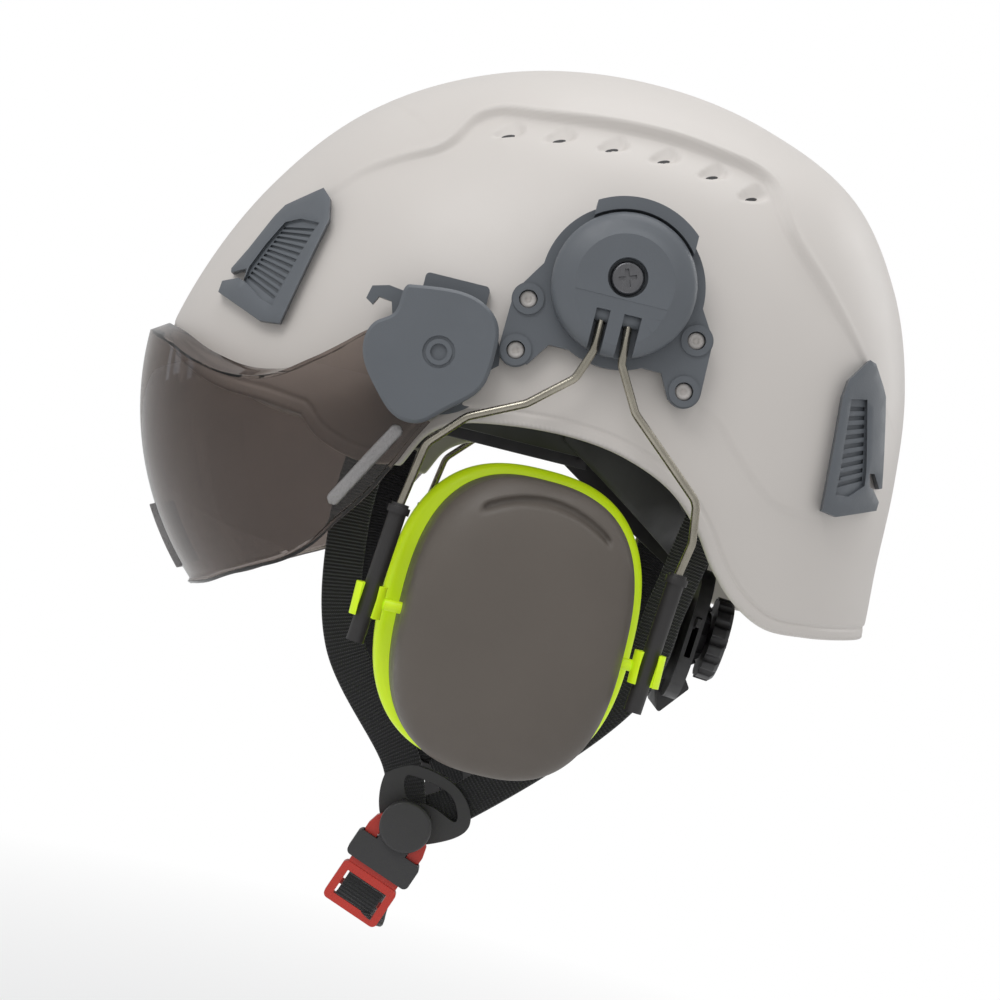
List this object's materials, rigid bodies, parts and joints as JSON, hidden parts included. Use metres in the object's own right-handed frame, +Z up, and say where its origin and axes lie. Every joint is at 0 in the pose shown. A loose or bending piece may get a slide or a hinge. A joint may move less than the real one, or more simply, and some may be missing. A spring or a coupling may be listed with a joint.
{
  "type": "forestry helmet",
  "caption": "Worn safety helmet with lift-up smoke visor, wire-arm ear muffs, ratchet nape cradle, lamp clips and a buckled chin strap.",
  "frame": {"origin": "middle of the headband ring, where the helmet sits on a head", "axes": "front faces -Y, the wearer's left is +X, +Z is up"},
  "size_m": [0.2654, 0.2923, 0.3337],
  "materials": {
    "shell_plastic": "warm off-white, semi gloss",
    "grey_plastic": "slate grey, satin",
    "liner_foam": "dark grey expanded foam",
    "pad_fabric": "dark grey knitted pad cover",
    "webbing": "black ribbed webbing",
    "smoke_lens": "smoke tinted, clear gloss",
    "frosted_grip": "frosted clear",
    "steel_wire": "bright drawn stainless",
    "black_rubber": "satin black",
    "black_plastic": "fine grain black",
    "cup_plastic": "warm grey, fine grain",
    "lime_plastic": "lime green, satin",
    "red_plastic": "red, satin",
    "cushion_skin": "soft black vinyl skin",
    "foam": "open-cell foam"
  },
  "bodies": {
    "helmet": {"shell": "shell_plastic", "impact_liner": "liner_foam", "crown_pad": "pad_fabric", "brow_pad": "pad_fabric", "cradle_strap_lengthwise": "webbing", "cradle_strap_crosswise": "webbing", "cradle_lugs": "black_plastic", "headband": "black_plastic", "headband_rivets": "black_plastic", "lamp_clips_front": "grey_plastic", "lamp_clips_rear": "grey_plastic", "visor_pivot_pins": "steel_wire", "chin_strap_anchors": "black_plastic", "strap_button": "black_plastic", "buckle_socket": "black_plastic", "visor_bracket_left": "grey_plastic", "muff_base_left": "grey_plastic", "muff_screw_left": "steel_wire", "chin_strap_side_left": "webbing", "strap_slider_left": "black_plastic", "visor_bracket_right": "grey_plastic", "muff_base_right": "grey_plastic", "muff_screw_right": "steel_wire", "chin_strap_side_right": "webbing", "strap_slider_right": "black_plastic"},
    "nape_cradle": {"nape_yoke": "black_plastic", "ratchet_cover": "black_plastic", "nape_pad": "pad_fabric"},
    "knob": {"ratchet_knob": "grey_plastic", "ratchet_pinion": "black_plastic"},
    "left_rack": {"ratchet_rack_left": "black_plastic"},
    "right_rack": {"ratchet_rack_right": "black_plastic"},
    "visor": {"visor_lens": "smoke_lens", "visor_cap_left": "grey_plastic", "visor_cap_right": "grey_plastic", "visor_lift_tab": "frosted_grip", "visor_grips": "frosted_grip"},
    "chin_release": {"buckle_plug": "red_plastic", "chin_strap_lower": "webbing", "strap_keeper": "black_plastic"},
    "left_turret": {"muff_turret_left": "grey_plastic", "muff_swing_pin_left": "steel_wire"},
    "left_arm": {"muff_arm_block_left": "grey_plastic", "muff_wires_left": "steel_wire", "muff_sleeves_left": "black_rubber"},
    "left_carrier": {"muff_trunnions_left": "lime_plastic"},
    "left_ear_cup": {"muff_ring_left": "lime_plastic", "muff_cup_left": "cup_plastic", "muff_foam_left": "foam", "muff_cushion_left": "cushion_skin"},
    "right_turret": {"muff_turret_right": "grey_plastic", "muff_swing_pin_right": "steel_wire"},
    "right_arm": {"muff_arm_block_right": "grey_plastic", "muff_wires_right": "steel_wire", "muff_sleeves_right": "black_rubber"},
    "right_carrier": {"muff_trunnions_right": "lime_plastic"},
    "right_ear_cup": {"muff_ring_right": "lime_plastic", "muff_cup_right": "cup_plastic", "muff_foam_right": "foam", "muff_cushion_right": "cushion_skin"}
  },
  "joints": [
    {"name": "visor_tilt", "type": "hinge", "parent": "helmet", "child": "visor", "pos_m": [0, -0.036, 0.013], "axis": [-1, 0, 0], "range_deg": [0, 60]},
    {"name": "nape_tilt", "type": "hinge", "parent": "helmet", "child": "nape_cradle", "pos_m": [0, 0.02, 0.004], "axis": [1, 0, 0], "range_deg": [-5, 5]},
    {"name": "knob_turn", "type": "hinge", "parent": "nape_cradle", "child": "knob", "pos_m": [0, 0.076, -0.061], "axis": [0, 0.9976, -0.0698], "range_deg": [-200, 0]},
    {"name": "left_rack_slide", "type": "slide", "parent": "nape_cradle", "child": "left_rack", "axis": [1, 0, 0], "range_m": [-0.012, 0]},
    {"name": "right_rack_slide", "type": "slide", "parent": "nape_cradle", "child": "right_rack", "axis": [1, 0, 0], "range_m": [0, 0.012]},
    {"name": "left_muff_turn", "type": "hinge", "parent": "helmet", "child": "left_turret", "pos_m": [0.1195, 0.0182, 0.051], "axis": [1, 0, 0], "range_deg": [-1, 5]},
    {"name": "left_muff_swing", "type": "hinge", "parent": "left_turret", "child": "left_arm", "pos_m": [0.1195, 0.0178, 0.0385], "axis": [0, -1, 0], "range_deg": [0, 25]},
    {"name": "left_cup_height", "type": "slide", "parent": "left_arm", "child": "left_carrier", "axis": [0, 0.0797, 0.9968], "range_m": [-0.012, 0.004]},
    {"name": "left_cup_tilt", "type": "hinge", "parent": "left_carrier", "child": "left_ear_cup", "pos_m": [0.113, 0.0085, -0.072], "axis": [0, 1, 0], "range_deg": [-8, 8]},
    {"name": "right_muff_turn", "type": "hinge", "parent": "helmet", "child": "right_turret", "pos_m": [-0.1195, 0.0182, 0.051], "axis": [1, 0, 0], "range_deg": [-1, 5]},
    {"name": "right_muff_swing", "type": "hinge", "parent": "right_turret", "child": "right_arm", "pos_m": [-0.1195, 0.0178, 0.0385], "axis": [0, 1, 0], "range_deg": [0, 25]},
    {"name": "right_cup_height", "type": "slide", "parent": "right_arm", "child": "right_carrier", "axis": [0, 0.0797, 0.9968], "range_m": [-0.012, 0.004]},
    {"name": "right_cup_tilt", "type": "hinge", "parent": "right_carrier", "child": "right_ear_cup", "pos_m": [-0.113, 0.0085, -0.072], "axis": [0, -1, 0], "range_deg": [-8, 8]},
    {"name": "buckle_release", "type": "slide", "parent": "helmet", "child": "chin_release", "axis": [0, -0.342, -0.9397], "range_m": [0, 0.02]}
  ],
  "couplings": [
    {"joint": "left_rack_slide", "follows": "knob_turn", "m_per_rad": 0.0032},
    {"joint": "right_rack_slide", "follows": "knob_turn", "m_per_rad": -0.0032}
  ]
}
